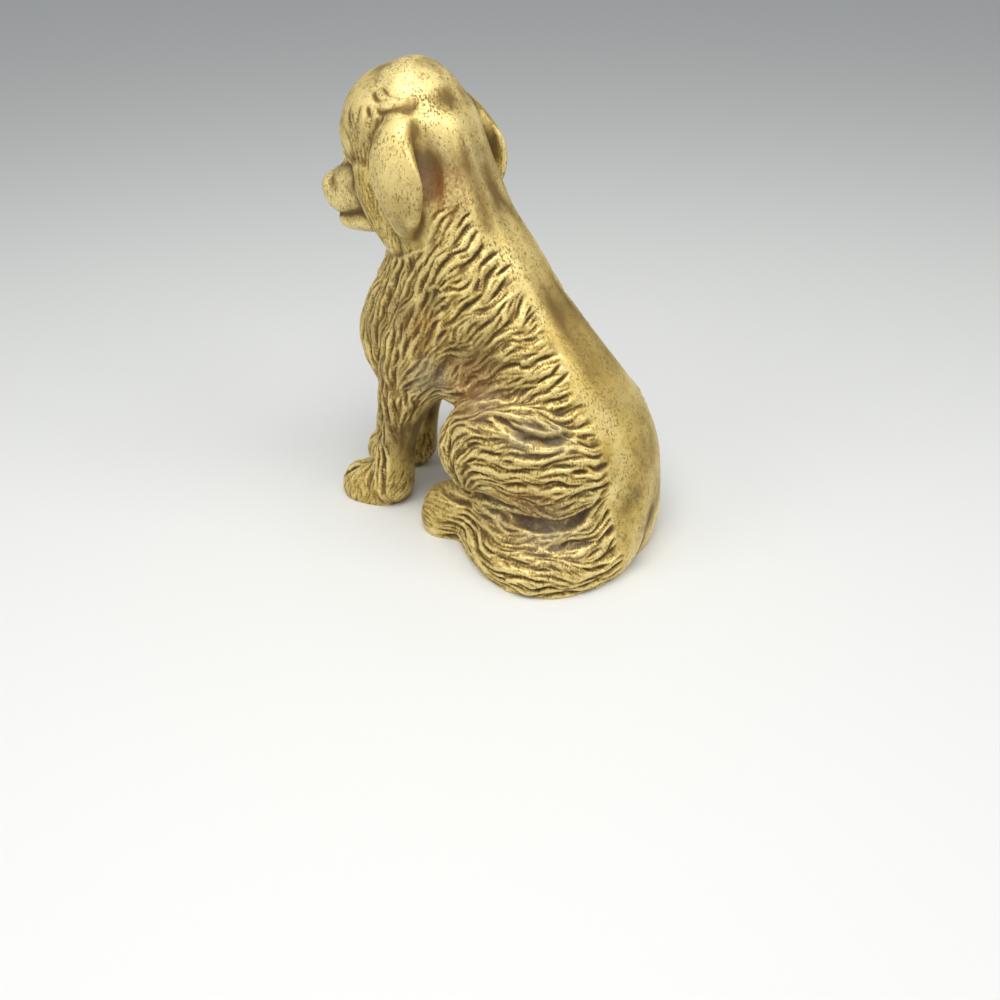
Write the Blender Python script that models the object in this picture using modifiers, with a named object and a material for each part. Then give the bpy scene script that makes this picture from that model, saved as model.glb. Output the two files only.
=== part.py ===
"""Cast brass figurine of a seated long-haired dog, one solid casting on a flat underside.

The dog faces -Y with its left side at +X, and stands on the plane Z = 0. The origin is the middle of
the flat underside of the rump. Every number below that describes the figure is in millimetres of a
160 mm tall dog, and FIGURE turns it into metres at the height wanted.
"""

import math

import bmesh
import bpy
import numpy as np
from mathutils import Matrix, Vector, kdtree

# Driving dimensions, in metres
HEIGHT = 0.160
VOXEL = 0.0011
MOST_TRIANGLES = 9300

DRAWN_HEIGHT = 160.0
FIGURE = HEIGHT / DRAWN_HEIGHT

HEAD_TURN = math.radians(-7)
HEAD_PIVOT = (0, -55, 0)
RIGHT_FORELEG_STEP = 5
RIGHT_EAR_BACK = 2
SHOULDER_HEIGHT = 62
BALL_STEP = 2.0

# Stations of each mass: x, y, z of a ball's centre, then its half-width, half-depth and half-height
TRUNK = [
    (0, 4.5, 12, 30, 25, 30),
    (0, 4, 30, 31, 23.6, 22),
    (0, -3, 44, 27, 25.3, 22),
    (0, -17, 58, 25, 26.3, 24),
    (0, -31, 74, 24, 25.8, 24),
    (0, -42, 92, 22.5, 24.5, 22),
    (0, -49.2, 107, 21, 21, 18),
    (0, -54.5, 119, 20.5, 17.8, 16),
    (0, -58, 128, 20.5, 17.5, 16),
    (0, -60.5, 135, 20.8, 18.6, 17),
]
NAPE = [
    (4, -56, 142, 11, 13, 9),
    (4.5, -51, 129, 12, 12.4, 10),
    (5, -46.8, 118, 12.5, 12.8, 11),
    (5, -42.3, 107, 12.5, 13, 12),
]
CHEST = [
    (0, -56, 100, 17, 17, 14),
    (0, -59, 88, 19, 19, 16),
    (0, -61.5, 76, 21.5, 23, 17),
    (0, -63, 66, 22.5, 24.5, 17),
    (0, -62.5, 56, 20, 22.5, 13),
]
BELLY = [(0, -54, 66, 23, 18, 15), (0, -40, 60, 24, 18, 15), (0, -28, 56, 25, 18, 16)]
SHOULDER = [(15, -50, 88, 8, 14, 14), (16.5, -54, 74, 9.5, 16, 16), (17, -59, 60, 9.5, 14, 13)]
CRANIUM = [(0, -63, 138.5, 18.5, 18, 21.5), (0, -70, 137, 19.5, 19.5, 20)]
BROW = [
    (6.5, -80.8, 139.5, 7.5, 6, 6.5),
    (10, -79.6, 137.2, 6.5, 6.2, 6),
    (12.8, -76, 135, 5.6, 6.5, 6.5),
]
BRIDGE = [(0, -80.2, 134.5, 8.5, 7.4, 8), (0, -84.5, 127.5, 7.2, 6.6, 6.2), (0, -88, 122.6, 7, 5.6, 4.8)]
EYEBALL = [(8.9, -83.4, 129.4, 3.5, 3.4, 3.2), (9.7, -83, 129.3, 3.5, 3.4, 3.2)]
EYELID = [
    (5.8, -84.2, 132.4, 2.4, 2.6, 1.7),
    (9.6, -84.4, 133.8, 3, 2.6, 1.8),
    (13, -81.6, 132, 2.2, 2.4, 1.8),
]
CHEEK = [
    (11.8, -72, 127, 7, 8, 9),
    (12.8, -69.5, 119, 6.6, 8.4, 8),
    (12.6, -66.5, 112, 6.2, 8.4, 7),
    (12, -62, 105.5, 6, 8, 6.5),
]
JOWL = [(8.4, -76, 120, 6, 6.5, 8), (9, -72.5, 112.5, 6, 6, 7)]
MUZZLE = [
    (0, -79, 119, 12.5, 10, 13),
    (0, -85, 116.5, 11.8, 9, 11.2),
    (0, -91, 114, 11, 8.6, 9.6),
    (0, -94, 113.6, 10.6, 7.6, 8.4),
]
NOSE = [(-3.5, -95.2, 115.5, 7, 6, 5.2), (3.5, -95.2, 115.5, 7, 6, 5.2)]
JAW = [(0, -74, 109, 11, 8, 7), (0, -84, 106, 9.6, 7, 5.6), (0, -90.5, 104.6, 8.2, 6.4, 4.8)]
EAR = [
    (14.5, -58.5, 143, 4, 6, 5),
    (18.5, -57.5, 139, 4, 8, 6),
    (21.5, -56.3, 133, 3.8, 10, 6),
    (23, -55, 126.5, 3.6, 10, 6),
    (22.6, -53.8, 119.5, 3.5, 7.4, 6),
    (20.6, -54.5, 114, 3.2, 4.8, 4.5),
]
FORELEG = [
    (15.5, -62.5, 52, 10, 11.5, 11),
    (15, -66, 40, 9, 9.3, 9),
    (14.5, -69, 28, 8.2, 8, 8),
    (14, -71, 16, 8.4, 8.2, 8.5),
    (14, -73, 8, 9.6, 9.2, 9),
]
FOREPAW = [(13.5, -78, 4.5, 10, 10.6, 11), (13.5, -83, 3.5, 10.3, 11.3, 10)]
THIGH = [
    (21, -2, 34, 15, 20, 22),
    (23.5, -13, 42, 14, 21, 21),
    (25.5, -23, 43, 12, 18, 19.5),
    (26, -31, 40, 10.5, 13, 18),
]
HAUNCH = [(19, 2, 14, 17, 22, 19), (20, -14, 14, 15, 20, 19), (20, -24, 12, 12, 12, 16)]
HINDFOOT = [(20, -26, 8, 10, 10, 14), (20.5, -38, 7, 10, 10.5, 14), (20.5, -44.5, 5, 10.5, 10.5, 13)]
TAIL = [
    (2, 14, 30, 14, 14, 14),
    (9, 16.5, 20, 14, 12.5, 15),
    (15, 17, 10, 13, 11.5, 13),
    (23, 15, 6.5, 10.8, 10.6, 11),
    (31, 10.5, 6, 10.5, 10.5, 10.5),
    (36.8, 3.5, 5.5, 10.5, 10.5, 10.5),
    (39, -4, 5.5, 10.4, 10.5, 10.5),
    (36.8, -12.5, 5.5, 10.2, 10.2, 10.3),
    (31.8, -21, 5, 9.4, 9.4, 9.8),
    (26.8, -28.5, 5, 7.8, 8.2, 9.2),
    (23, -35, 4.5, 6, 6.6, 8),
]
APRON = [
    (15, 9, 15, 15, 15, 16),
    (25, 5, 10.5, 12, 12, 12.5),
    (29.5, -5, 10, 11, 13, 12.5),
    (27, -16, 9.5, 11, 12, 12.5),
    (22, -26, 8, 9, 10, 12),
]

# The lie of the long hair on the left side: x, y, z, then its direction, then how far it counts
COAT = [
    (19, -50, 120, 0.1, -0.65, -0.75, 14),
    (10, -72, 100, 0, -0.35, -0.95, 12),
    (6, -84, 82, 0, -0.05, -1, 16),
    (8, -86, 60, 0, 0.15, -1, 14),
    (20, -68, 90, 0, -0.45, -0.9, 12),
    (24, -52, 86, 0.05, -0.5, -0.85, 16),
    (25, -58, 64, 0, -0.3, -0.95, 12),
    (22, -30, 94, 0.2, -0.65, -0.72, 14),
    (25, -30, 74, 0.1, -0.75, -0.65, 14),
    (25, -42, 60, 0, -0.8, -0.6, 12),
    (24, -8, 68, 0.2, -0.85, -0.5, 12),
    (34, -8, 56, 0.1, -1, -0.15, 14),
    (37, -8, 44, 0, -1, -0.05, 14),
    (36, -5, 30, 0, -1, 0.15, 12),
    (33, 12, 42, 0.3, -0.9, -0.2, 12),
    (33, -36, 44, 0, -0.45, -0.9, 9),
    (30, -38, 30, 0, 0.2, -1, 9),
    (20, -66, 42, 0, -0.12, -1, 14),
    (15, -74, 28, 0, -0.1, -1, 14),
]
TAIL_REACH = 13

# Where the hair is short: the band down the spine, the head, the paws
BAND_HEIGHTS = (0, 30, 45, 57, 72, 89, 106, 120, 160)
BAND_HALF_WIDTHS = (24, 24, 21, 18, 15, 11.5, 12.5, 13.5, 14)
NECK_TOP = 122
THROAT = 100
PAW_TOP = 18

# Locks of hair, in drawing millimetres
LOCK_SEED = 11
LOCK_TRIES = 24000
LOCK_SPACING = 6.5
LOCK_LENGTH = 20
LOCK_HALF_WIDTH = 2.4
LOCK_DEPTH = 1.7
LINE_STEP = 1.2

# Carved lines: stations x, y, z of the line, then its half-width and its depth
FOREPAW_LINES = [
    ([(10.5, -86, 14), (9.5, -91, 10), (9.5, -94.5, 5), (9.5, -95, -1)], 1.8, 1.6),
    ([(17.5, -86, 14), (18.5, -91, 10), (18.5, -94.5, 5), (18.5, -95, -1)], 1.8, 1.6),
]
FOLDS = [
    ([(17, -47, 20), (16.5, -52, 15), (16.5, -55, 8), (16.5, -55.5, -1)], 1.8, 1.5),
    ([(24, -47, 20), (24.5, -52, 15), (24.5, -55, 8), (24.5, -55.5, -1)], 1.8, 1.5),
    ([(22.4, -48.5, 93), (24.3, -49, 84), (25.5, -50.5, 74), (25, -51.5, 60)], 4.5, 2.4),
    ([(32, -20, 59), (33.8, -8, 54.8), (31, 0, 54), (24, 6, 56), (17.5, 9, 57)], 3.2, 1.5),
    ([(31, -36, 56), (31, -28, 61), (27, -18, 64.5), (22, -8, 66), (19, -3, 67)], 3, 1.6),
    ([(22, 17.5, 37), (27, 14, 30), (32, 9, 24), (35, -2, 22), (33, -20, 21), (31.5, -33, 24)], 2.8, 2),
]
FACE_LINES = [
    ([(0, -97.6, 105.4), (4, -96.8, 105.6), (7.8, -93.5, 106.3), (9.8, -88, 107.6), (11, -83, 110)], 1.1, 1),
    ([(0, -101.6, 112.2), (0, -100.6, 108.5), (0, -98.6, 105.6)], 1, 0.8),
    ([(0, -99, 119.6), (3.6, -99.4, 119), (5.6, -99.8, 116.6), (4.6, -100.8, 113.4), (0, -102, 112)], 1, 0.8),
    ([(2.2, -101.6, 115.6), (3.2, -101.2, 116), (4, -100.8, 115.2)], 1.2, 1.1),
    ([(10, -86.9, 129.3), (10.5, -86.7, 129.3)], 1.3, 0.8),
    ([(18, -49, 143), (18, -47, 136), (17.5, -45.5, 128), (18, -44, 120)], 5.5, 1.8),
]
EYE = (9.4, -85.2, 129.3)
EYE_LOOKS = (0.5, -0.86, 0)
EYE_HALF_WIDTH = 3.8
EYE_HALF_HEIGHT = 2.6
EYELID_GROOVE = 0.9
EYELID_DEPTH = 0.55
FINEST_GROOVE = 1.4

BRASS_COLOUR = (0.60, 0.42, 0.15, 1)
SMALLEST_EDGE = 0.00005


def spline(stations, step):
    """The stations joined by a Catmull-Rom curve, with about one sample for each step."""
    points = np.array(stations, float)
    ends = np.vstack([2 * points[0] - points[1], points, 2 * points[-1] - points[-2]])
    samples = []
    for a, b, c, d in zip(ends, ends[1:], ends[2:], ends[3:]):
        count = max(2, int(np.linalg.norm((c - b)[:3]) / step) + 1)
        for t in np.linspace(0, 1, count, endpoint=False):
            samples.append(
                b
                + 0.5 * (c - a) * t
                + (a - 2.5 * b + 2 * c - 0.5 * d) * t**2
                + 0.5 * (3 * b - a - 3 * c + d) * t**3
            )
    samples.append(points[-1])
    return np.array(samples)


def unit_ball():
    """Corner points and faces of a sphere of radius 1."""
    ball = bmesh.new()
    bmesh.ops.create_uvsphere(ball, u_segments=18, v_segments=12, radius=1)
    points = np.array([v.co for v in ball.verts])
    faces = [[v.index for v in f.verts] for f in ball.faces]
    ball.free()
    return points, faces


def turn_head(points):
    """The points turned about the neck, as the dog looks a little to its right."""
    pivot = np.array(HEAD_PIVOT, float)
    turn = np.array(Matrix.Rotation(HEAD_TURN, 3, "Z"))
    return (np.atleast_2d(points) - pivot) @ turn.T + pivot


def mirrored(points):
    return np.atleast_2d(points) * (-1, 1, 1)


def step_forward(points):
    """The right foreleg's points: its paw stands ahead of the left one, and its shoulder doesn't."""
    points = np.array(points, float)
    share = np.clip(2.5 - 2.5 * points[:, 2] / SHOULDER_HEIGHT, 0, 1)
    points[:, 1] -= RIGHT_FORELEG_STEP * share
    return points


def masses():
    """The points of every ball of every mass, each as an array, in millimetres."""
    points, _ = unit_ball()

    def balls(stations):
        return [points * s[3:] + s[:3] for s in spline(stations, BALL_STEP)]

    found = []
    for stations in (TRUNK, CHEST, BELLY, TAIL, APRON):
        found += balls(stations)
    for stations in (NAPE, SHOULDER, THIGH, HAUNCH, HINDFOOT):
        found += [side(b) for b in balls(stations) for side in (np.array, mirrored)]
    for stations in (FORELEG, FOREPAW):
        found += balls(stations) + [step_forward(mirrored(b)) for b in balls(stations)]
    for stations in (CRANIUM, BRIDGE, MUZZLE, NOSE, JAW):
        found += [turn_head(b) for b in balls(stations)]
    for stations in (BROW, EYEBALL, EYELID, CHEEK, JOWL):
        found += [turn_head(side(b)) for b in balls(stations) for side in (np.array, mirrored)]
    found += [turn_head(b) for b in balls(EAR)]
    found += [turn_head(mirrored(b) + (0, RIGHT_EAR_BACK, 0)) for b in balls(EAR)]
    return found


def mesh_of_balls(balls):
    """One mesh that holds every ball."""
    _, faces = unit_ball()
    count = len(balls[0])
    all_faces = [[v + i * count for v in f] for i in range(len(balls)) for f in faces]
    mesh = bpy.data.meshes.new("masses")
    mesh.from_pydata(np.vstack(balls) * FIGURE, [], all_faces)
    return mesh


def evaluated_mesh(obj):
    graph = bpy.context.evaluated_depsgraph_get()
    return bpy.data.meshes.new_from_object(obj.evaluated_get(graph))


def fused(mesh, voxel, rounds):
    """The mesh as an object: every ball run together into one skin, and softened."""
    bm = bmesh.new()
    bm.from_mesh(mesh)
    bmesh.ops.recalc_face_normals(bm, faces=bm.faces)
    bm.to_mesh(mesh)
    bm.free()
    obj = bpy.data.objects.new("dog", mesh)
    bpy.context.scene.collection.children["dog figurine"].objects.link(obj)
    skin = obj.modifiers.new("one skin", "REMESH")
    skin.mode = "VOXEL"
    skin.voxel_size = voxel
    soft = obj.modifiers.new("soft joins", "SMOOTH")
    soft.factor = 0.5
    soft.iterations = rounds
    whole = evaluated_mesh(obj)
    obj.modifiers.clear()
    obj.data = whole
    return obj


def surface(mesh):
    """The mesh's points in drawing millimetres, their outward directions, and a finder of near points."""
    points = np.array([v.co for v in mesh.vertices]) / FIGURE
    outward = np.array([v.normal for v in mesh.vertices])
    near = kdtree.KDTree(len(points))
    for i, point in enumerate(points):
        near.insert(point, i)
    near.balance()
    return points, outward, near


def coat_guides():
    """Places on both flanks and along the tail, each with the way its hair lies and how far it counts."""
    left = np.array(COAT, float)
    right = left * (-1, 1, 1, -1, 1, 1, 1)
    tail = spline(TAIL, 5)[:, :3]
    along = np.diff(tail, axis=0)
    on_tail = np.hstack([tail[:-1], along, np.full((len(along), 1), TAIL_REACH)])
    guides = np.vstack([left, right, on_tail])
    guides[:, 3:6] /= np.linalg.norm(guides[:, 3:6], axis=1)[:, None]
    return guides


def hair_way(point, outward, guides):
    """The way the hair lies at a point of the skin, along the skin."""
    away = np.linalg.norm(guides[:, :3] - point, axis=1) / guides[:, 6]
    weight = np.exp(-(away**2)) + 1e-6
    way = (guides[:, 3:6] * weight[:, None]).sum(0)
    way -= outward * (way @ outward)
    return way / (np.linalg.norm(way) + 1e-9)


def smooth_back(point, outward):
    """True on the short-haired band down the spine, which widens towards the rump."""
    half = np.interp(point[2], BAND_HEIGHTS, BAND_HALF_WIDTHS)
    return outward[1] > 0.1 and abs(point[0]) < half


def has_locks(point, outward):
    """True where the long hair is: not on the head, the paws, the band or close to the ground."""
    x, y, z = point
    if z < 4 or z > NECK_TOP or smooth_back(point, outward):
        return False
    if y < -58 and (z < PAW_TOP or z > THROAT):
        return False
    if y < -30 and z < PAW_TOP + 4 and abs(x) < 31 and y > -58:
        return False
    return outward[2] > -0.75


def traced(start, length, skin, guides):
    """A lock's line: steps along the lie of the hair, kept on the skin."""
    points, outward, near = skin
    line = [np.array(start, float)]
    while len(line) * LINE_STEP < length:
        _, i, _ = near.find(line[-1])
        ahead = line[-1] + LINE_STEP * hair_way(points[i], outward[i], guides)
        _, i, _ = near.find(ahead)
        line.append(ahead - outward[i] * ((ahead - points[i]) @ outward[i]))
    return np.array(line)


def lock_starts(skin, spacing):
    """Points spread over the long-haired skin, none nearer another than the spacing."""
    points, outward, near = skin
    chance = np.random.default_rng(LOCK_SEED)
    low, high = points.min(0), points.max(0)
    starts = []
    for candidate in chance.uniform(low, high, (LOCK_TRIES, 3)):
        place, i, away = near.find(candidate)
        if away > spacing or not has_locks(points[i], outward[i]):
            continue
        if all((points[i] - s) @ (points[i] - s) > spacing**2 for s in starts):
            starts.append(points[i])
    return starts


def cut(depths, line, half_width, depth, near, fade=0.7):
    """Deepens the depths under a line: a groove that runs out at its ends, or is even with no fade."""
    for i, point in enumerate(line):
        share = math.sin(math.pi * ((i + 0.5) / len(line)) ** fade) if fade else 1
        reach = half_width * (0.55 + 0.45 * share)
        for _, j, away in near.find_range(point, reach):
            depths[j] = max(depths[j], depth * share * (1 - (away / reach) ** 2))


def eyelids():
    """The almond round the left eye, square to the way the eye looks."""
    across = Vector(EYE_LOOKS).cross((0, 0, 1)).normalized()
    over = across.cross(EYE_LOOKS)
    angles = np.linspace(0, 2 * math.pi, 32, endpoint=False)
    wide, high = EYE_HALF_WIDTH * np.cos(angles), EYE_HALF_HEIGHT * np.sin(angles)
    return np.array(EYE) + np.outer(wide, across) + np.outer(high, over)


def features():
    """Lines carved besides the locks: toes, mouth and folds, each with a half-width and a depth."""
    for line, half_width, depth in FOREPAW_LINES:
        yield spline(line, 1), half_width, depth
        yield step_forward(mirrored(spline(line, 1))), half_width, depth
    for line, half_width, depth in FOLDS:
        yield spline(line, 1), half_width, depth
        yield mirrored(spline(line, 1)), half_width, depth
    for line, half_width, depth in FACE_LINES:
        yield turn_head(spline(line, 1)), half_width, depth
        yield turn_head(mirrored(spline(line, 1))), half_width, depth
    yield turn_head(eyelids()), EYELID_GROOVE, EYELID_DEPTH
    yield turn_head(mirrored(eyelids())), EYELID_GROOVE, EYELID_DEPTH


def carve(obj):
    """Cuts the locks of hair, the toes, the folds and the face into the skin."""
    skin = surface(obj.data)
    points, outward, near = skin
    guides = coat_guides()
    depths = np.zeros(len(points))
    chance = np.random.default_rng(LOCK_SEED)
    for start in lock_starts(skin, LOCK_SPACING):
        length = LOCK_LENGTH * chance.uniform(0.7, 1.3)
        cut(depths, traced(start, length, skin, guides), LOCK_HALF_WIDTH, LOCK_DEPTH, near)
    for line, half_width, depth in features():
        cut(depths, line, max(half_width, FINEST_GROOVE), depth, near, fade=0)
    moved = (points - outward * depths[:, None]) * FIGURE
    obj.data.vertices.foreach_set("co", moved.ravel())
    obj.data.update()


def thinned(obj, triangles):
    """The mesh brought down to a number of triangles."""
    count = sum(len(p.vertices) - 2 for p in obj.data.polygons)
    fewer = obj.modifiers.new("fewer", "DECIMATE")
    fewer.ratio = triangles / count
    whole = evaluated_mesh(obj)
    obj.modifiers.clear()
    obj.data = whole


def stand_flat(obj):
    """Cuts away everything below the ground and closes the underside with flat faces."""
    bm = bmesh.new()
    bm.from_mesh(obj.data)
    everything = bm.verts[:] + bm.edges[:] + bm.faces[:]
    bmesh.ops.bisect_plane(bm, geom=everything, plane_no=(0, 0, 1), clear_inner=True)
    rims = [e for e in bm.edges if e.is_boundary]
    bmesh.ops.holes_fill(bm, edges=rims)
    bmesh.ops.triangulate(bm, faces=bm.faces)
    bmesh.ops.remove_doubles(bm, verts=bm.verts, dist=SMALLEST_EDGE)
    bmesh.ops.recalc_face_normals(bm, faces=bm.faces)
    bm.to_mesh(obj.data)
    bm.free()


def brass():
    metal = bpy.data.materials.new("aged brass")
    metal.use_nodes = True
    look = metal.node_tree.nodes["Principled BSDF"]
    look.inputs["Base Color"].default_value = BRASS_COLOUR
    look.inputs["Metallic"].default_value = 1
    look.inputs["Roughness"].default_value = 0.42
    return metal


def main():
    for old in list(bpy.data.objects):
        bpy.data.objects.remove(old)
    figurine = bpy.data.collections.new("dog figurine")
    bpy.context.scene.collection.children.link(figurine)
    dog = fused(mesh_of_balls(masses()), VOXEL, 8)
    carve(dog)
    thinned(dog, MOST_TRIANGLES)
    stand_flat(dog)
    dog.data.materials.clear()
    dog.data.materials.append(brass())


if __name__ == "__main__":
    main()
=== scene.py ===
"""Looks of the seated brass dog: its fine carving, its aged brass, a plain studio and the camera.

The casting is built again here from the same masses as the solid, with a finer skin, and stands for
the solid node. Numbers that describe the figure are in millimetres of a 160 mm tall dog.
"""

import math

import bmesh
import bpy
import numpy as np
from mathutils import Matrix, Vector, kdtree, noise


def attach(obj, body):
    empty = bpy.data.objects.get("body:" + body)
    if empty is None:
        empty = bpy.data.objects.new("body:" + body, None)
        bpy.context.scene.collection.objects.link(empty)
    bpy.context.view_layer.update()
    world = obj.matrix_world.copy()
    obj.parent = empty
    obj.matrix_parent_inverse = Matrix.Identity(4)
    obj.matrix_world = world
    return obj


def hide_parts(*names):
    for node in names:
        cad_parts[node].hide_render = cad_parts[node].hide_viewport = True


FIGURE = 0.001
VOXEL = 0.00056
MOST_TRIANGLES = 192000
WELD = 0.00001
SEED = 11
# Rounds of evening: of the whole skin, of the band, and of the surface that the paint's hollows are
# measured from; the broad hollows take so many times more rounds
SOFTENING = 32
BAND_ROUNDS = 160
PAINT_ROUNDS = 10
BROAD = 8
# The share of the way to its neighbours that a point moves in a round
EVENING = 0.6

HEAD_TURN = math.radians(-7)
HEAD_PIVOT = (0, -55, 0)
RIGHT_FORELEG_STEP = 5
RIGHT_EAR_BACK = 2
SHOULDER_HEIGHT = 62
BALL_STEP = 2.0

# Stations of each mass: x, y, z of a ball's centre, then its half-width, half-depth and half-height
TRUNK = [
    (0, 4.5, 12, 30, 25, 30),
    (0, 4, 30, 31, 23.6, 22),
    (0, -3, 44, 27, 25.3, 22),
    (0, -17, 58, 25, 26.3, 24),
    (0, -31, 74, 24, 25.8, 24),
    (0, -42, 92, 22.5, 24.5, 22),
    (0, -49.2, 107, 21, 21, 18),
    (0, -54.5, 119, 20.5, 17.8, 16),
    (0, -58, 128, 20.5, 17.5, 16),
    (0, -60.5, 135, 20.8, 18.6, 17),
]
NAPE = [
    (4, -56, 142, 11, 13, 9),
    (4.5, -51, 129, 12, 12.4, 10),
    (5, -46.8, 118, 12.5, 12.8, 11),
    (5, -42.3, 107, 12.5, 13, 12),
]
CHEST = [
    (0, -56, 100, 17, 17, 14),
    (0, -59, 88, 19, 19, 16),
    (0, -61.5, 76, 21.5, 23, 17),
    (0, -63, 66, 22.5, 24.5, 17),
    (0, -62.5, 56, 20, 22.5, 13),
]
BELLY = [(0, -54, 66, 23, 18, 15), (0, -40, 60, 24, 18, 15), (0, -28, 56, 25, 18, 16)]
SHOULDER = [(15, -50, 88, 8, 14, 14), (16.5, -54, 74, 9.5, 16, 16), (17, -59, 60, 9.5, 14, 13)]
CRANIUM = [(0, -63, 138.5, 18.5, 18, 21.5), (0, -70, 137, 19.5, 19.5, 20)]
BROW = [
    (6.5, -80.8, 139.5, 7.5, 6, 6.5),
    (10, -79.6, 137.2, 6.5, 6.2, 6),
    (12.8, -76, 135, 5.6, 6.5, 6.5),
]
BRIDGE = [(0, -80.2, 134.5, 8.5, 7.4, 8), (0, -84.5, 127.5, 7.2, 6.6, 6.2), (0, -88, 122.6, 7, 5.6, 4.8)]
EYEBALL = [(8.9, -83.4, 129.4, 3.5, 3.4, 3.2), (9.7, -83, 129.3, 3.5, 3.4, 3.2)]
EYELID = [
    (5.8, -84.2, 132.4, 2.4, 2.6, 1.7),
    (9.6, -84.4, 133.8, 3, 2.6, 1.8),
    (13, -81.6, 132, 2.2, 2.4, 1.8),
]
CHEEK = [
    (11.8, -72, 127, 7, 8, 9),
    (12.8, -69.5, 119, 6.6, 8.4, 8),
    (12.6, -66.5, 112, 6.2, 8.4, 7),
    (12, -62, 105.5, 6, 8, 6.5),
]
JOWL = [(8.4, -76, 120, 6, 6.5, 8), (9, -72.5, 112.5, 6, 6, 7)]
MUZZLE = [
    (0, -79, 119, 12.5, 10, 13),
    (0, -85, 116.5, 11.8, 9, 11.2),
    (0, -91, 114, 11, 8.6, 9.6),
    (0, -94, 113.6, 10.6, 7.6, 8.4),
]
NOSE = [(-3.5, -95.2, 115.5, 7, 6, 5.2), (3.5, -95.2, 115.5, 7, 6, 5.2)]
JAW = [(0, -74, 109, 11, 8, 7), (0, -84, 106, 9.6, 7, 5.6), (0, -90.5, 104.6, 8.2, 6.4, 4.8)]
EAR = [
    (14.5, -58.5, 143, 4, 6, 5),
    (18.5, -57.5, 139, 4, 8, 6),
    (21.5, -56.3, 133, 3.8, 10, 6),
    (23, -55, 126.5, 3.6, 10, 6),
    (22.6, -53.8, 119.5, 3.5, 7.4, 6),
    (20.6, -54.5, 114, 3.2, 4.8, 4.5),
]
FORELEG = [
    (15.5, -62.5, 52, 10, 11.5, 11),
    (15, -66, 40, 9, 9.3, 9),
    (14.5, -69, 28, 8.2, 8, 8),
    (14, -71, 16, 8.4, 8.2, 8.5),
    (14, -73, 8, 9.6, 9.2, 9),
]
FOREPAW = [(13.5, -78, 4.5, 10, 10.6, 11), (13.5, -83, 3.5, 10.3, 11.3, 10)]
THIGH = [
    (21, -2, 34, 15, 20, 22),
    (23.5, -13, 42, 14, 21, 21),
    (25.5, -23, 43, 12, 18, 19.5),
    (26, -31, 40, 10.5, 13, 18),
]
HAUNCH = [(19, 2, 14, 17, 22, 19), (20, -14, 14, 15, 20, 19), (20, -24, 12, 12, 12, 16)]
HINDFOOT = [(20, -26, 8, 10, 10, 14), (20.5, -38, 7, 10, 10.5, 14), (20.5, -44.5, 5, 10.5, 10.5, 13)]
TAIL = [
    (2, 14, 30, 14, 14, 14),
    (9, 16.5, 20, 14, 12.5, 15),
    (15, 17, 10, 13, 11.5, 13),
    (23, 15, 6.5, 10.8, 10.6, 11),
    (31, 10.5, 6, 10.5, 10.5, 10.5),
    (36.8, 3.5, 5.5, 10.5, 10.5, 10.5),
    (39, -4, 5.5, 10.4, 10.5, 10.5),
    (36.8, -12.5, 5.5, 10.2, 10.2, 10.3),
    (31.8, -21, 5, 9.4, 9.4, 9.8),
    (26.8, -28.5, 5, 7.8, 8.2, 9.2),
    (23, -35, 4.5, 6, 6.6, 8),
]
APRON = [
    (15, 9, 15, 15, 15, 16),
    (25, 5, 10.5, 12, 12, 12.5),
    (29.5, -5, 10, 11, 13, 12.5),
    (27, -16, 9.5, 11, 12, 12.5),
    (22, -26, 8, 9, 10, 12),
]

# The lie of the long hair on the left side: x, y, z, then its direction, then how far it counts
COAT = [
    (19, -50, 120, 0.1, -0.65, -0.75, 14),
    (10, -72, 100, 0, -0.35, -0.95, 12),
    (6, -84, 82, 0, -0.05, -1, 16),
    (8, -86, 60, 0, 0.15, -1, 14),
    (20, -68, 90, 0, -0.45, -0.9, 12),
    (24, -52, 86, 0.05, -0.5, -0.85, 16),
    (25, -58, 64, 0, -0.3, -0.95, 12),
    (22, -30, 94, 0.2, -0.65, -0.72, 14),
    (25, -30, 74, 0.1, -0.75, -0.65, 14),
    (25, -42, 60, 0, -0.8, -0.6, 12),
    (24, -8, 68, 0.2, -0.85, -0.5, 12),
    (34, -8, 56, 0.1, -1, -0.15, 14),
    (37, -8, 44, 0, -1, -0.05, 14),
    (36, -5, 30, 0, -1, 0.15, 12),
    (33, 12, 42, 0.3, -0.9, -0.2, 12),
    (33, -36, 44, 0, -0.45, -0.9, 9),
    (30, -38, 30, 0, 0.2, -1, 9),
    (20, -66, 42, 0, -0.12, -1, 14),
    (15, -74, 28, 0, -0.1, -1, 14),
    (13, -76, 138, 0.2, 0.35, -0.9, 7),
    (15, -72, 125, 0.1, 0.1, -1, 8),
    (15, -67, 112, 0, 0.5, -0.85, 7),
]
TAIL_REACH = 13

# Where the hair is short: the band down the spine, the head, the paws
BAND_HEIGHTS = (0, 30, 45, 57, 72, 89, 106, 120, 160)
BAND_HALF_WIDTHS = (24, 24, 21, 18, 15, 11.5, 12.5, 13.5, 14)
BAND_RIGHT_SHARE = 0.75
NECK_TOP = 122
THROAT = 100
PAW_TOP = 18
# The smoothing of the band: how far it goes past the band's edge, how wide it fades out at the sides,
# and from which height, over which height, it sets in
BAND_OVERLAP = 3
BAND_FADE = 4
BAND_LOW = 14
BAND_LOW_FADE = 12

# Hair in three sizes: spacing, length, half-width, depth, and how far its lie wanders in radians
LOCKS = (6.0, 17, 1.9, 1.3, 0.45)
STRANDS = (2.7, 11, 1.0, 0.85, 0.8)
HAIRS = (1.6, 6.5, 0.65, 0.45, 1.1)
# Each hair's own share of that length and depth lies between these
LENGTH_SHARES = (0.5, 1.4)
DEPTH_SHARES = (0.4, 1.25)
WANDER_SCALE = 0.13
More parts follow.
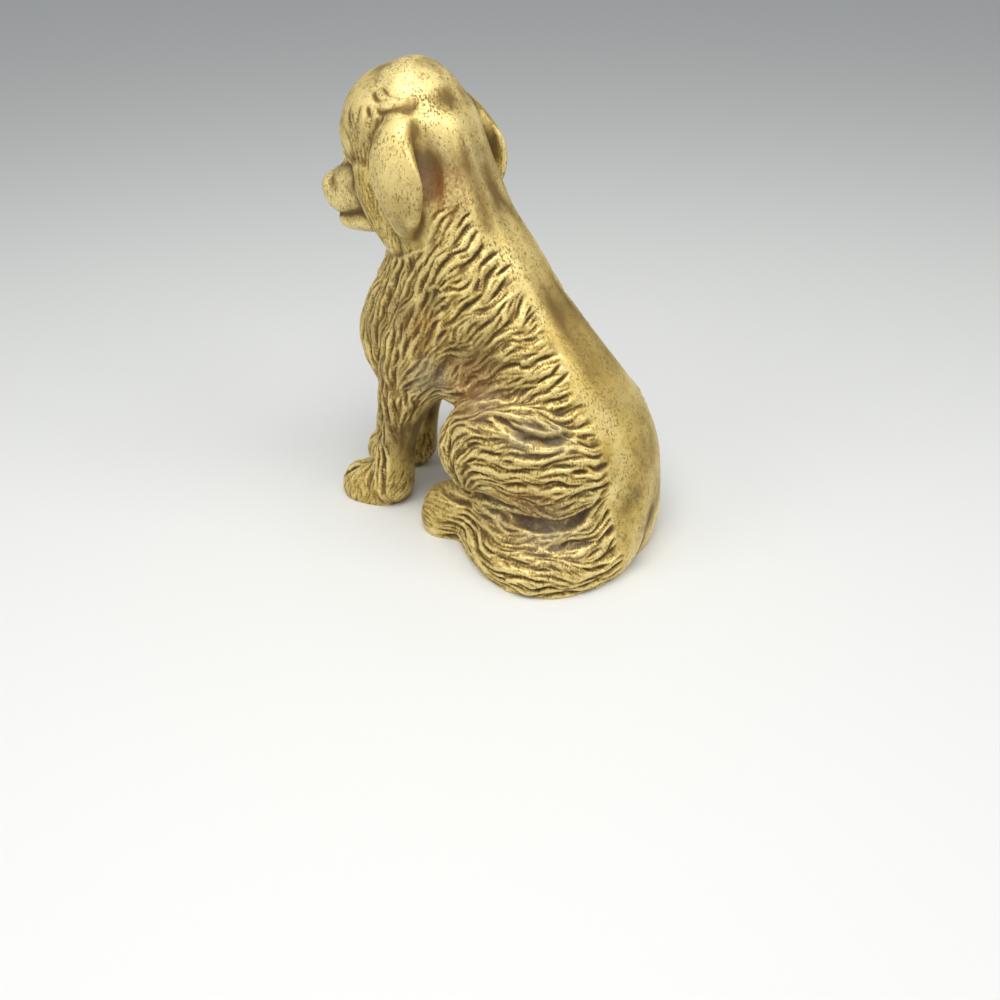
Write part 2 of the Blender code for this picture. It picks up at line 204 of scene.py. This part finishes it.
# Only hair spaced closer than this grows on the cheeks and paws, with this share of its depth
FINE_SPACING = 2
FINE_DEPTH = 0.7
# The length of a step along a hair, a feature, a cut and a small mark
LINE_STEP = 0.9
FEATURE_STEP = 1
CUT_STEP = 0.7
MARK_STEP = 0.5

# Carved lines: stations x, y, z of the line, then its half-width and its depth
FOREPAW_LINES = [
    ([(10.5, -86, 14), (9.5, -91, 10), (9.5, -94.5, 5), (9.5, -95, -1)], 1.8, 1.6),
    ([(17.5, -86, 14), (18.5, -91, 10), (18.5, -94.5, 5), (18.5, -95, -1)], 1.8, 1.6),
]
HINDPAW_LINES = [
    ([(17, -47, 20), (16.5, -52, 15), (16.5, -55, 8), (16.5, -55.5, -1)], 1.8, 1.5),
    ([(24, -47, 20), (24.5, -52, 15), (24.5, -55, 8), (24.5, -55.5, -1)], 1.8, 1.5),
]
FOLDS = [
    ([(22.4, -48.5, 93), (24.3, -49, 84), (25.5, -50.5, 74), (25, -51.5, 60)], 4.5, 2.4),
    ([(32, -20, 59), (33.8, -8, 54.8), (31, 0, 54), (24, 6, 56), (17.5, 9, 57)], 2.5, 3),
    ([(31, -36, 56), (31, -28, 61), (27, -18, 64.5), (22, -8, 66), (19, -3, 67)], 2.6, 2.4),
    ([(22, 17.5, 37), (27, 14, 30), (32, 9, 24), (35, -2, 22), (33, -20, 21), (31.5, -33, 24)], 2.6, 3),
]
MOUTH = [(0, -97.6, 105.4), (4, -96.8, 105.6), (7.8, -93.5, 106.3), (9.8, -88, 107.6), (11, -83, 110)]
UPPER_LIP = [(0, -101.6, 112.2), (0, -100.6, 108.5), (0, -98.6, 105.6)]
NOSE_PAD = [(0, -99, 119.6), (3.6, -99.4, 119), (5.6, -99.8, 116.6), (4.6, -101, 113.4), (0, -102, 112)]
NOSTRIL = [(2.2, -101.6, 115.6), (3.2, -101.2, 116), (4, -100.8, 115.2)]
PUPIL = [(10, -86.9, 129.3), (10.5, -86.7, 129.3)]
FACE_LINES = [
    (MOUTH, 1.1, 1),
    (UPPER_LIP, 1, 0.8),
    (NOSE_PAD, 1, 0.8),
    (NOSTRIL, 1.2, 1.1),
    (PUPIL, 1.3, 0.8),
]
EAR_HOLLOW = ([(17.5, -50.5, 147), (18, -47, 136), (17.5, -45.5, 128), (18, -44, 117)], 5.5, 2)
# Raised lines, mirrored like the cuts below: stations, half-width and height
RIMS = [
    ([(4, -37, 125), (7.9, -29, 111.2), (9.2, -13.7, 89.6), (11.9, 0.2, 72), (14, 7, 63)], 5, 0.4),
    ([(21, -50, 92), (22, -47.5, 95), (22, -44.5, 94.5), (22.4, -43.5, 91.5)], 1, 0.7),
    ([(24.6, -47.9, 79.6), (23, -40.5, 82.8), (21.8, -31.4, 88.8)], 1.1, 0.6),
    ([(14.3, -66.8, 98), (20, -52.6, 105.5), (19.1, -44.5, 111.7), (16.8, -41.3, 115.7)], 1, 0.5),
]
# Deep cuts where the long hair leaves the band: stations, half-width and depth
EDGE_CUTS = [
    ([(11, -27, 108), (15.5, -30.5, 104.8), (19.5, -34.5, 100)], 1.2, 1.6),
    ([(9.6, -23.2, 103.6), (14.5, -26.5, 100.8), (18, -30, 98)], 1, 1.2),
    ([(10, -13, 91), (14, -15.5, 87.5), (18.5, -19, 82)], 1.3, 1.8),
    ([(14, -2.5, 76), (17.5, -5.2, 71.5), (22, -9, 65.5)], 1.3, 1.7),
    ([(14, 0, 72.5), (18.5, -4, 68), (24, -10.5, 62.5)], 1.2, 1.6),
]
# Small marks on the left temple: stations, half-width and depth
HEAD_MARKS = [
    ([(14.8, -69.5, 151.5), (16.2, -66, 149.4), (15.4, -62.5, 150.6)], 1.6, 0.5),
    ([(16.6, -66.5, 147.6), (17.2, -64, 146.4), (16.6, -60.5, 147.4)], 1.3, 0.45),
    ([(13.8, -66, 152.6), (15, -62, 151), (14.4, -58, 150.6)], 1.3, 0.4),
    ([(17.2, -69.6, 146.8), (17.6, -68.6, 145.2), (17.4, -69, 144)], 1.4, 0.6),
    ([(17, -72.5, 150), (17.6, -72.8, 145), (18.2, -72, 140)], 1.3, 0.4),
    ([(16.6, -67, 145), (17.8, -68, 141), (18.6, -69, 137)], 1.3, 0.45),
]
EYE = (9.4, -85.2, 129.3)
EYE_LOOKS = (0.5, -0.86, 0)
EYE_HALF_WIDTH = 3.8
EYE_HALF_HEIGHT = 2.6
EYELID_GROOVE = 0.9
EYELID_DEPTH = 0.55

# Patches of rust and dust, and of painted shade and painted light: x, y, z of the middle, radius,
# strength
PATCHES = {
    "rust": [
        (17, -45, 126, 7, 0.9),
        (25, -33, 62, 10, 0.8),
        (24, -50, 80, 7, 0.5),
        (35, -6, 28, 10, 0.6),
        (20, -66, 55, 8, 0.4),
    ],
    "dust": [
        (30, 0, 19, 12, 0.9),
        (24, -12, 17, 12, 0.8),
        (25, -26, 56, 8, 0.7),
        (24, -48, 62, 8, 0.8),
        (16, -36, 15, 8, 0.5),
        (33.5, -8, 55.5, 7, 0.9),
        (30, 1, 54.5, 6, 0.8),
    ],
    # Painted shade: darker patches where the chest, the forelegs, the ears and the flank's valleys lie
    # in shade
    "painted_shade": [
        (26.5, -53, 116, 8, 1),
        (16, -47.5, 134, 8, 0.8),
        (17, -72, 139, 7, 0.4),
        (20, -62, 36, 14, 1),
        (20, -62, 58, 14, 0.6),
        (20, -74, 76, 12, 0.6),
        (22, -50, 91, 7, 0.6),
        (23, -60, 86, 14, 0.6),
        (26, -30, 72, 14, 0.8),
        (10, 12, 60, 7, 0.5),
        (35, -34, 30, 9, 0.5),
    ],
    # Painted light: brighter patches on the crown, the nape, the muzzle, the brow, the ear and the back,
    # where the lamps fall brightest
    "painted_light": [
        (3, -93, 118, 11, 0.8),
        (6, -84, 118, 9, 0.6),
        (3, -47, 128, 15, 0.9),
        (4, -40, 112, 13, 0.7),
        (6, -62, 154, 20, 0.7),
        (12, -76, 142, 9, 0.6),
        (25, -57, 131, 9, 0.5),
        (8, -22, 97, 12, 0.4),
    ],
}

# Colours: red, green, blue and alpha
DULL_GOLD = (0.52, 0.36, 0.08, 1)
GOLD = (0.74, 0.55, 0.17, 1)
# Painted light: the gold of the brightest lit places
LIT_GOLD = (0.92, 0.76, 0.34, 1)
WORN_EDGE = (0.86, 0.68, 0.27, 1)
TARNISH = (0.24, 0.15, 0.035, 1)
OLIVE_BROWN = (0.25, 0.155, 0.035, 1)
DEEP_BROWN = (0.08, 0.047, 0.016, 1)
# Painted shade: the brown of the shaded patches
SHADE_BROWN = (0.17, 0.105, 0.028, 1)
RUST_RED = (0.34, 0.105, 0.022, 1)
DUST_GREY = (0.31, 0.255, 0.17, 1)
PIT_BROWN = (0.17, 0.11, 0.03, 1)
FLOOR_GREY = (0.74, 0.74, 0.71, 1)
SKY_GREY = (0.75, 0.78, 0.82, 1)

# The studio and the camera, in metres; each lamp has a name, a place, a width and a power in watts
FLOOR_HALF = 3
LAMPS = (
    ("overhead", (0.20, 0.01, 0.58), 0.36, 2.5),
    ("side", (0.50, -0.42, 0.40), 0.40, 1.1),
    ("rear", (0.0, 0.58, 0.62), 0.5, 2.2),
)
LAMP_AIM = (0, -0.03, 0.07)
CAMERA_PLACE = (0.2898, 0.1024, 0.2240)
CAMERA_FORWARD = (-0.7439, -0.3469, -0.5712)
CAMERA_RIGHT = (-0.4247, 0.9053, 0.0033)


def spline(stations, step):
    """The stations joined by a Catmull-Rom curve, with about one sample for each step."""
    points = np.array(stations, float)
    ends = np.vstack([2 * points[0] - points[1], points, 2 * points[-1] - points[-2]])
    samples = []
    for a, b, c, d in zip(ends, ends[1:], ends[2:], ends[3:]):
        count = max(2, int(np.linalg.norm((c - b)[:3]) / step) + 1)
        for t in np.linspace(0, 1, count, endpoint=False):
            samples.append(
                b
                + 0.5 * (c - a) * t
                + (a - 2.5 * b + 2 * c - 0.5 * d) * t**2
                + 0.5 * (3 * b - a - 3 * c + d) * t**3
            )
    samples.append(points[-1])
    return np.array(samples)


def unit_ball():
    """Corner points and faces of a sphere of radius 1."""
    ball = bmesh.new()
    bmesh.ops.create_uvsphere(ball, u_segments=24, v_segments=16, radius=1)
    points = np.array([v.co for v in ball.verts])
    faces = [[v.index for v in f.verts] for f in ball.faces]
    ball.free()
    return points, faces


def turn_head(points):
    """The points turned about the neck, as the dog looks a little to its right."""
    pivot = np.array(HEAD_PIVOT, float)
    turn = np.array(Matrix.Rotation(HEAD_TURN, 3, "Z"))
    return (np.atleast_2d(points) - pivot) @ turn.T + pivot


def mirrored(points):
    """The points of the left side, moved over to the right side."""
    return np.atleast_2d(points) * (-1, 1, 1)


def step_forward(points):
    """The right foreleg's points: its paw stands ahead of the left one, and its shoulder doesn't."""
    points = np.array(points, float)
    share = np.clip(2.5 - 2.5 * points[:, 2] / SHOULDER_HEIGHT, 0, 1)
    points[:, 1] -= RIGHT_FORELEG_STEP * share
    return points


def masses():
    """The points of every ball of every mass, each as an array, in millimetres."""
    points, _ = unit_ball()

    def balls(stations):
        return [points * s[3:] + s[:3] for s in spline(stations, BALL_STEP)]

    found = []
    for stations in (TRUNK, CHEST, BELLY, TAIL, APRON):
        found += balls(stations)
    for stations in (NAPE, SHOULDER, THIGH, HAUNCH, HINDFOOT):
        found += [side(b) for b in balls(stations) for side in (np.array, mirrored)]
    for stations in (FORELEG, FOREPAW):
        found += balls(stations) + [step_forward(mirrored(b)) for b in balls(stations)]
    for stations in (CRANIUM, BRIDGE, MUZZLE, NOSE, JAW):
        found += [turn_head(b) for b in balls(stations)]
    for stations in (BROW, EYEBALL, EYELID, CHEEK, JOWL):
        found += [turn_head(side(b)) for b in balls(stations) for side in (np.array, mirrored)]
    found += [turn_head(b) for b in balls(EAR)]
    found += [turn_head(mirrored(b) + (0, RIGHT_EAR_BACK, 0)) for b in balls(EAR)]
    return found


def mesh_of_balls(balls):
    """One mesh that holds every ball."""
    _, faces = unit_ball()
    count = len(balls[0])
    all_faces = [[v + i * count for v in f] for i in range(len(balls)) for f in faces]
    mesh = bpy.data.meshes.new("masses")
    mesh.from_pydata(np.vstack(balls) * FIGURE, [], all_faces)
    return mesh


def apply_modifiers(obj):
    """Gives the object the mesh that its modifiers make, and takes them off."""
    graph = bpy.context.evaluated_depsgraph_get()
    whole = bpy.data.meshes.new_from_object(obj.evaluated_get(graph))
    obj.modifiers.clear()
    obj.data = whole


def fused(mesh):
    """The mesh as an object: every ball run together into one skin, and softened."""
    bm = bmesh.new()
    bm.from_mesh(mesh)
    bmesh.ops.recalc_face_normals(bm, faces=bm.faces)
    bm.to_mesh(mesh)
    bm.free()
    obj = bpy.data.objects.new("dog_casting", mesh)
    bpy.context.scene.collection.objects.link(obj)
    skin = obj.modifiers.new("one skin", "REMESH")
    skin.mode = "VOXEL"
    skin.voxel_size = VOXEL
    soft = obj.modifiers.new("soft joins", "SMOOTH")
    soft.factor = 0.5
    soft.iterations = SOFTENING
    apply_modifiers(obj)
    return obj


def read_points(mesh):
    """The mesh's points in millimetres."""
    points = np.empty(len(mesh.vertices) * 3, np.float32)
    mesh.vertices.foreach_get("co", points)
    return points.reshape(-1, 3).astype(float) / FIGURE


def read_normals(mesh):
    """The outward direction at every point of the mesh."""
    normals = np.empty(len(mesh.vertices) * 3, np.float32)
    mesh.vertex_normals.foreach_get("vector", normals)
    return normals.reshape(-1, 3).astype(float)


def surface(mesh):
    """The mesh's points, their outward directions, and a finder of near points."""
    points, outward = read_points(mesh), read_normals(mesh)
    near = kdtree.KDTree(len(points))
    for i, point in enumerate(points):
        near.insert(point, i)
    near.balance()
    return points, outward, near


def neighbours(mesh, kept):
    """The two ends of every edge that has a kept end, and how many such edges meet at every point."""
    edges = np.empty(len(mesh.edges) * 2, np.int32)
    mesh.edges.foreach_get("vertices", edges)
    a, b = edges.reshape(-1, 2).T
    inside = kept[a] | kept[b]
    a, b = a[inside], b[inside]
    return a, b, np.maximum(1, np.bincount(np.concatenate([a, b]), minlength=len(mesh.vertices)))


def evened(points, links, share, rounds):
    """The points moved towards the mean of their neighbours, by a share, some rounds over."""
    a, b, degree = links
    ends = np.concatenate([a, b])
    for _ in range(rounds):
        others = np.concatenate([points[b], points[a]])
        total = np.stack([np.bincount(ends, others[:, k], len(points)) for k in range(3)], axis=1)
        points = points + share * (total / degree[:, None] - points)
    return points


def smooth_band(obj):
    """Runs the skull, the nape and the back into one another along the short-haired band."""
    points = read_points(obj.data)
    x, y, z = points.T
    half = np.interp(z, BAND_HEIGHTS, BAND_HALF_WIDTHS) + BAND_OVERLAP
    width = np.clip((half - abs(x)) / BAND_FADE, 0, 1)
    back = np.clip((read_normals(obj.data)[:, 1] - 0.05) / 0.3, 0, 1)
    low = np.clip((z - BAND_LOW) / BAND_LOW_FADE, 0, 1)
    share = EVENING * width * back * low
    moved = evened(points, neighbours(obj.data, share > 0), share[:, None], BAND_ROUNDS)
    obj.data.vertices.foreach_set("co", (moved * FIGURE).ravel())
    obj.data.update()


def coat_guides():
    """Places on both flanks and along the tail, with the way the hair lies and how far each counts."""
    left = np.array(COAT, float)
    right = left * (-1, 1, 1, -1, 1, 1, 1)
    tail = spline(TAIL, 5)[:, :3]
    along = np.diff(tail, axis=0)
    on_tail = np.hstack([tail[:-1], along, np.full((len(along), 1), TAIL_REACH)])
    guides = np.vstack([left, right, on_tail])
    guides[:, 3:6] /= np.linalg.norm(guides[:, 3:6], axis=1)[:, None]
    return guides


def hair_ways(points, outward):
    """The way the hair lies at every point of the skin, along the skin."""
    total = np.zeros_like(points)
    for guide in coat_guides():
        away = np.linalg.norm(points - guide[:3], axis=1) / guide[6]
        total += (np.exp(-(away**2)) + 1e-6)[:, None] * guide[3:6]
    total -= outward * (total * outward).sum(1)[:, None]
    return total / (np.linalg.norm(total, axis=1)[:, None] + 1e-9)


def haired(points, outward):
    """Where the hair is long, and where it is fine: the cheeks and the paws."""
    x, y, z = points.T
    half = np.interp(z, BAND_HEIGHTS, BAND_HALF_WIDTHS)
    band = (outward[:, 1] > 0.1) & (x < half) & (x > -BAND_RIGHT_SHARE * half)
    ears = (abs(x) > 16) & (y < -45) & (y > -70) & (z > 106)
    throat = (y < -58) & (z > THROAT)
    forepaw = (y < -58) & (z < PAW_TOP)
    hindpaw = (y < -30) & (y > -58) & (z < PAW_TOP + 4) & (abs(x) < 31)
    cheek = (z > 106) & (z < 146) & (y < -61) & (y > -80) & (abs(x) > 8) & (abs(x) < 19.5)
    shown = (z > 1) & (outward[:, 2] > -0.75)
    long = shown & (z < NECK_TOP) & ~band & ~ears & ~throat & ~forepaw & ~hindpaw
    return long, shown & (cheek | ((forepaw | hindpaw) & (z > 4)))


def spread(points, allowed, spacing, chance):
    """Numbers of the allowed points that are kept when no two may be nearer than about the spacing."""
    taken = {}
    for i in chance.permutation(np.flatnonzero(allowed)):
        cell = tuple((points[i] // spacing).astype(int))
        around = [
            taken.get((cell[0] + a, cell[1] + b, cell[2] + c))
            for a in (-1, 0, 1)
            for b in (-1, 0, 1)
            for c in (-1, 0, 1)
        ]
        if all(j is None or ((points[j] - points[i]) ** 2).sum() > spacing**2 for j in around):
            taken[cell] = i
    return list(taken.values())


def traced(start, length, wander, skin, ways):
    """A hair's line: steps along the lie of the hair, wandering a little, kept on the skin."""
    points, outward, near = skin
    line = [points[start]]
    i = start
    while len(line) * LINE_STEP < length:
        here = line[-1]
        turn = wander * noise.noise(Vector(here) * WANDER_SCALE)
        way = ways[i] * math.cos(turn) + np.cross(outward[i], ways[i]) * math.sin(turn)
        ahead = here + LINE_STEP * way
        _, i, _ = near.find(ahead)
        line.append(ahead - outward[i] * ((ahead - points[i]) @ outward[i]))
    return line


def cut(depths, line, half_width, depth, near, fade=0.7, sharp=1.4):
    """Deepens the depths under a line: a groove that runs out at its ends, or is even with no fade."""
    for i, point in enumerate(line):
        share = math.sin(math.pi * ((i + 0.5) / len(line)) ** fade) if fade else 1
        reach = half_width * (0.55 + 0.45 * share)
        for _, j, away in near.find_range(point, reach):
            depths[j] = max(depths[j], depth * share * (1 - (away / reach) ** sharp))


def cut_both(depths, rows, near, step=CUT_STEP, sharp=1.4):
    """Deepens the depths under rows of lines on the left side, and under their mirror images."""
    for line, half_width, depth in rows:
        for side in (np.array, mirrored):
            cut(depths, side(spline(line, step)), half_width, depth, near, sharp=sharp)


def eyelids():
    """The almond round the left eye, square to the way the eye looks."""
    across = Vector(EYE_LOOKS).cross((0, 0, 1)).normalized()
    over = across.cross(EYE_LOOKS)
    angles = np.linspace(0, 2 * math.pi, 32, endpoint=False)
    wide, high = EYE_HALF_WIDTH * np.cos(angles), EYE_HALF_HEIGHT * np.sin(angles)
    return np.array(EYE) + np.outer(wide, across) + np.outer(high, over)


def features():
    """Lines of even depth, on the toes and the face, each with a half-width and a depth."""
    for line, half_width, depth in FOREPAW_LINES:
        yield spline(line, FEATURE_STEP), half_width, depth
        yield step_forward(mirrored(spline(line, FEATURE_STEP))), half_width, depth
    for line, half_width, depth in HINDPAW_LINES:
        yield spline(line, FEATURE_STEP), half_width, depth
        yield mirrored(spline(line, FEATURE_STEP)), half_width, depth
    for line, half_width, depth in FACE_LINES:
        yield turn_head(spline(line, FEATURE_STEP)), half_width, depth
        yield turn_head(mirrored(spline(line, FEATURE_STEP))), half_width, depth
    yield turn_head(eyelids()), EYELID_GROOVE, EYELID_DEPTH
    yield turn_head(mirrored(eyelids())), EYELID_GROOVE, EYELID_DEPTH


def carve(obj):
    """Cuts the hair in its three sizes, the toes, the folds and the face into the skin."""
    skin = surface(obj.data)
    points, outward, near = skin
    ways = hair_ways(points, outward)
    long, fine = haired(points, outward)
    chance = np.random.default_rng(SEED)
    total = np.zeros(len(points))
    for spacing, length, half_width, depth, wander in (LOCKS, STRANDS, HAIRS):
        depths = np.zeros(len(points))
        allowed = long if spacing > FINE_SPACING else long | fine
        for start in spread(points, allowed, spacing, chance):
            line = traced(start, length * chance.uniform(*LENGTH_SHARES), wander, skin, ways)
            cut(depths, line, half_width, depth * chance.uniform(*DEPTH_SHARES), near)
        total += np.where(long, 1, FINE_DEPTH) * depths
    marks, rims, folds = (np.zeros(len(points)) for _ in range(3))
    for line, half_width, depth in features():
        cut(folds, line, half_width, depth, near, fade=0, sharp=2)
    cut_both(folds, FOLDS, near, step=FEATURE_STEP, sharp=2)
    cut_both(marks, EDGE_CUTS, near)
    cut_both(rims, RIMS, near, sharp=1)
    for line, half_width, depth in HEAD_MARKS:
        cut(marks, turn_head(spline(line, MARK_STEP)), half_width, depth, near)
    line, half_width, depth = EAR_HOLLOW
    for side in (np.array, mirrored):
        cut(folds, turn_head(side(spline(line, CUT_STEP))), half_width, depth, near, sharp=2)
    total = np.maximum(total, marks) + folds - rims
    moved = (points - outward * total[:, None]) * FIGURE
    obj.data.vertices.foreach_set("co", moved.ravel())
    obj.data.update()


def thinned(obj, triangles):
    """Brings the mesh down to a number of triangles."""
    count = sum(len(p.vertices) - 2 for p in obj.data.polygons)
    fewer = obj.modifiers.new("fewer", "DECIMATE")
    fewer.ratio = min(1, triangles / count)
    apply_modifiers(obj)


def stand_flat(obj):
    """Cuts away everything below the ground and closes the underside with flat faces."""
    bm = bmesh.new()
    bm.from_mesh(obj.data)
    everything = bm.verts[:] + bm.edges[:] + bm.faces[:]
    bmesh.ops.bisect_plane(bm, geom=everything, plane_no=(0, 0, 1), clear_inner=True)
    open_edges = [e for e in bm.edges if e.is_boundary]
    bmesh.ops.holes_fill(bm, edges=open_edges)
    bmesh.ops.triangulate(bm, faces=bm.faces)
    bmesh.ops.remove_doubles(bm, verts=bm.verts, dist=WELD)
    bmesh.ops.recalc_face_normals(bm, faces=bm.faces)
    bm.to_mesh(obj.data)
    bm.free()


def hollows(mesh, rounds):
    """How far each point lies below the skin's average around it, in millimetres."""
    points = read_points(mesh)
    above_ground = points[:, 2] > 0.01
    even = evened(points, neighbours(mesh, above_ground), EVENING, rounds)
    return ((even - points) * read_normals(mesh)).sum(1)


def patched(points, blobs):
    """How strongly each point lies in one of the round patches."""
    amount = np.zeros(len(points))
    for x, y, z, radius, strength in blobs:
        away = ((points - (x, y, z)) ** 2).sum(1) / radius**2
        amount = np.maximum(amount, strength * np.exp(-away))
    return amount


def store(mesh, name, values):
    """Keeps a value for every point of the mesh, for the material to read."""
    mesh.attributes.new(name, "FLOAT", "POINT").data.foreach_set("value", values.astype(np.float32))


class Nodes:
    """Adds nodes to a material with few words."""

    def __init__(self, material):
        self.tree = material.node_tree

    def put(self, socket, value):
        """Links another node's output to an input, or sets the input to a fixed value."""
        if isinstance(value, bpy.types.NodeSocket):
            self.tree.links.new(value, socket)
        else:
            socket.default_value = value

    def add(self, kind, **values):
        """A new node of a kind, with values in its named inputs."""
        node = self.tree.nodes.new(kind)
        for name, value in values.items():
            self.put(node.inputs[name], value)
        return node

    def math(self, operation, a, b):
        """The result of a sum on two values."""
        node = self.add("ShaderNodeMath")
        node.operation = operation
        self.put(node.inputs[0], a)
        self.put(node.inputs[1], b)
        return node.outputs[0]

    def between(self, value, low, high, to_low=0.0, to_high=1.0):
        """The value carried over from low and high to two new ends, and held there."""
        node = self.add("ShaderNodeMapRange", Value=value)
        self.put(node.inputs["From Min"], low)
        self.put(node.inputs["From Max"], high)
        self.put(node.inputs["To Min"], to_low)
        self.put(node.inputs["To Max"], to_high)
        return node.outputs[0]

    def mix(self, share, a, b):
        """Colour a, with a share of colour b over it."""
        node = self.add("ShaderNodeMix")
        node.data_type = "RGBA"
        self.put(node.inputs[0], share)
        self.put(node.inputs[6], a)
        self.put(node.inputs[7], b)
        return node.outputs[2]

    def noise(self, where, scale, detail, rough=0.5):
        """Cloudy noise, with so many features to the metre."""
        node = self.add("ShaderNodeTexNoise", Vector=where, Scale=scale, Detail=detail, Roughness=rough)
        return node.outputs["Fac"]

    def stored(self, name):
        """The value kept under a name for every point."""
        node = self.add("ShaderNodeAttribute")
        node.attribute_name = name
        return node.outputs["Fac"]


def aged_brass():
    """Yellow brass, bright where it is rubbed, with painted light and painted shade in patches, brown in
    its hollows, stained, pitted and dusty.
    """
    metal = bpy.data.materials.new("aged brass")
    metal.use_nodes = True
    look = metal.node_tree.nodes["Principled BSDF"]
    n = Nodes(metal)
    where = n.add("ShaderNodeTexCoord").outputs["Object"]
    hollow, broad = n.stored("hollow"), n.stored("broad")
    grain = n.noise(where, 900, 3)
    cloud = n.noise(where, 90, 4, 0.6)

    # The metal, with painted light in patches where the lamps fall brightest, then what darkens it, from
    # the surface down into the hollows
    gold = n.mix(n.between(cloud, 0.35, 0.7), DULL_GOLD, GOLD)
    bright = n.mix(n.stored("painted_light"), gold, LIT_GOLD)
    tarnish = n.noise(where, 330, 5, 0.7)
    mottle = n.noise(where, 1300, 6, 0.75)
    stain = n.between(n.math("ADD", mottle, tarnish), 1.0, 1.2, 0, 0.8)
    stained = n.mix(stain, bright, TARNISH)
    worn = n.mix(n.between(hollow, -0.04, -0.2), stained, WORN_EDGE)
    olive = n.mix(n.between(hollow, -0.03, 0.13), worn, OLIVE_BROWN)
    deep = n.mix(n.between(hollow, 0.09, 0.34), olive, DEEP_BROWN)

    # Painted shade in patches, then what lies on it in patches: rust and dust
    painted_shade = n.math("MULTIPLY", n.stored("painted_shade"), n.between(cloud, 0.3, 0.6))
    shaded = n.mix(painted_shade, deep, SHADE_BROWN)
    rust = n.math("MULTIPLY", n.stored("rust"), n.between(grain, 0.35, 0.6))
    rusty = n.mix(rust, shaded, RUST_RED)
    settled = n.math("MAXIMUM", n.stored("dust"), n.between(broad, 0.6, 1.6, 0, 0.3))
    dust = n.math("MULTIPLY", settled, n.between(grain, 0.3, 0.65, 0.4, 1))
    dusty = n.mix(dust, rusty, DUST_GREY)

    # Upright pits, denser in some places than in others
    stretched = n.add("ShaderNodeMapping", Vector=where, Scale=(1.3, 1.1, 0.55)).outputs[0]
    speck = n.noise(stretched, 1150, 5, 0.7)
    thick = n.between(n.noise(where, 110, 2), 0.35, 0.65, 0.6, 0.52)
    pits = n.between(n.math("SUBTRACT", speck, thick), 0.0, 0.08)
    spotted = n.mix(n.math("MULTIPLY", pits, 0.8), dusty, PIT_BROWN)

    n.put(look.inputs["Base Color"], spotted)
    look.inputs["Metallic"].default_value = 0.5
    rough = n.between(hollow, -0.2, 0.4, 0.36, 0.7)
    uneven = n.math("MULTIPLY", n.math("SUBTRACT", grain, 0.5), 0.35)
    n.put(look.inputs["Roughness"], n.math("ADD", rough, uneven))
    height = n.math("SUBTRACT", n.math("MULTIPLY", mottle, 0.8), pits)
    bump = n.add("ShaderNodeBump", Height=height)
    bump.inputs["Strength"].default_value = 0.5
    bump.inputs["Distance"].default_value = 0.0004
    n.put(look.inputs["Normal"], bump.outputs["Normal"])
    return metal


def casting():
    """The finished brass dog."""
    dog = fused(mesh_of_balls(masses()))
    smooth_band(dog)
    carve(dog)
    thinned(dog, MOST_TRIANGLES)
    stand_flat(dog)
    points = read_points(dog.data)
    broad = hollows(dog.data, BROAD * PAINT_ROUNDS)
    store(dog.data, "hollow", hollows(dog.data, PAINT_ROUNDS) - broad / BROAD)
    store(dog.data, "broad", broad)
    # Patches of rust and dust, and patches of painted shade and painted light
    for name, blobs in PATCHES.items():
        store(dog.data, name, patched(points, blobs))
    dog.data.shade_smooth()
    dog.data.materials.clear()
    dog.data.materials.append(aged_brass())
    return dog


def studio():
    """A plain pale floor and plain soft light."""
    mesh = bpy.data.meshes.new("floor")
    corners = [(x * FLOOR_HALF, y * FLOOR_HALF, 0) for x, y in ((-1, -1), (1, -1), (1, 1), (-1, 1))]
    mesh.from_pydata(corners, [], [(0, 1, 2, 3)])
    floor = bpy.data.objects.new("floor", mesh)
    bpy.context.scene.collection.objects.link(floor)
    pale = bpy.data.materials.new("pale floor")
    pale.use_nodes = True
    look = pale.node_tree.nodes["Principled BSDF"]
    look.inputs["Base Color"].default_value = FLOOR_GREY
    look.inputs["Roughness"].default_value = 0.6
    mesh.materials.append(pale)
    world = bpy.data.worlds.new("studio")
    world.use_nodes = True
    sky = world.node_tree.nodes["Background"]
    sky.inputs["Color"].default_value = SKY_GREY
    sky.inputs["Strength"].default_value = 0.5
    bpy.context.scene.world = world
    for name, place, width, power in LAMPS:
        light = bpy.data.lights.new(name, "AREA")
        light.size = width
        light.energy = power
        lamp = bpy.data.objects.new(name, light)
        lamp.location = place
        aim = Vector(LAMP_AIM) - lamp.location
        lamp.rotation_euler = aim.to_track_quat("-Z", "Y").to_euler()
        bpy.context.scene.collection.objects.link(lamp)


def camera():
    """The photograph's view: from the dog's left, behind and above."""
    lens = bpy.data.cameras.new("view")
    lens.lens = 36
    lens.sensor_width = 36
    lens.clip_start = 0.01
    view = bpy.data.objects.new("view", lens)
    view.location = CAMERA_PLACE
    forward = Vector(CAMERA_FORWARD).normalized()
    right = Vector(CAMERA_RIGHT).normalized()
    over = right.cross(forward)
    view.rotation_euler = Matrix((right, over, -forward)).transposed().to_euler()
    bpy.context.scene.collection.objects.link(view)
    bpy.context.scene.camera = view


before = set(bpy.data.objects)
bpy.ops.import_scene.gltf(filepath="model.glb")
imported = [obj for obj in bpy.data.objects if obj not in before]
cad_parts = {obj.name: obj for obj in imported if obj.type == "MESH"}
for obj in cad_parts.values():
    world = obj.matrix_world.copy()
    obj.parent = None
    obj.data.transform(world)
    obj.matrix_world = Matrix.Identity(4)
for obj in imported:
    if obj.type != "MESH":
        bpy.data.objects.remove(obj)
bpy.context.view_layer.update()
dog = casting()
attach(dog, "root")
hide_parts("dog")
studio()
camera()
bpy.context.scene.view_settings.view_transform = "Standard"
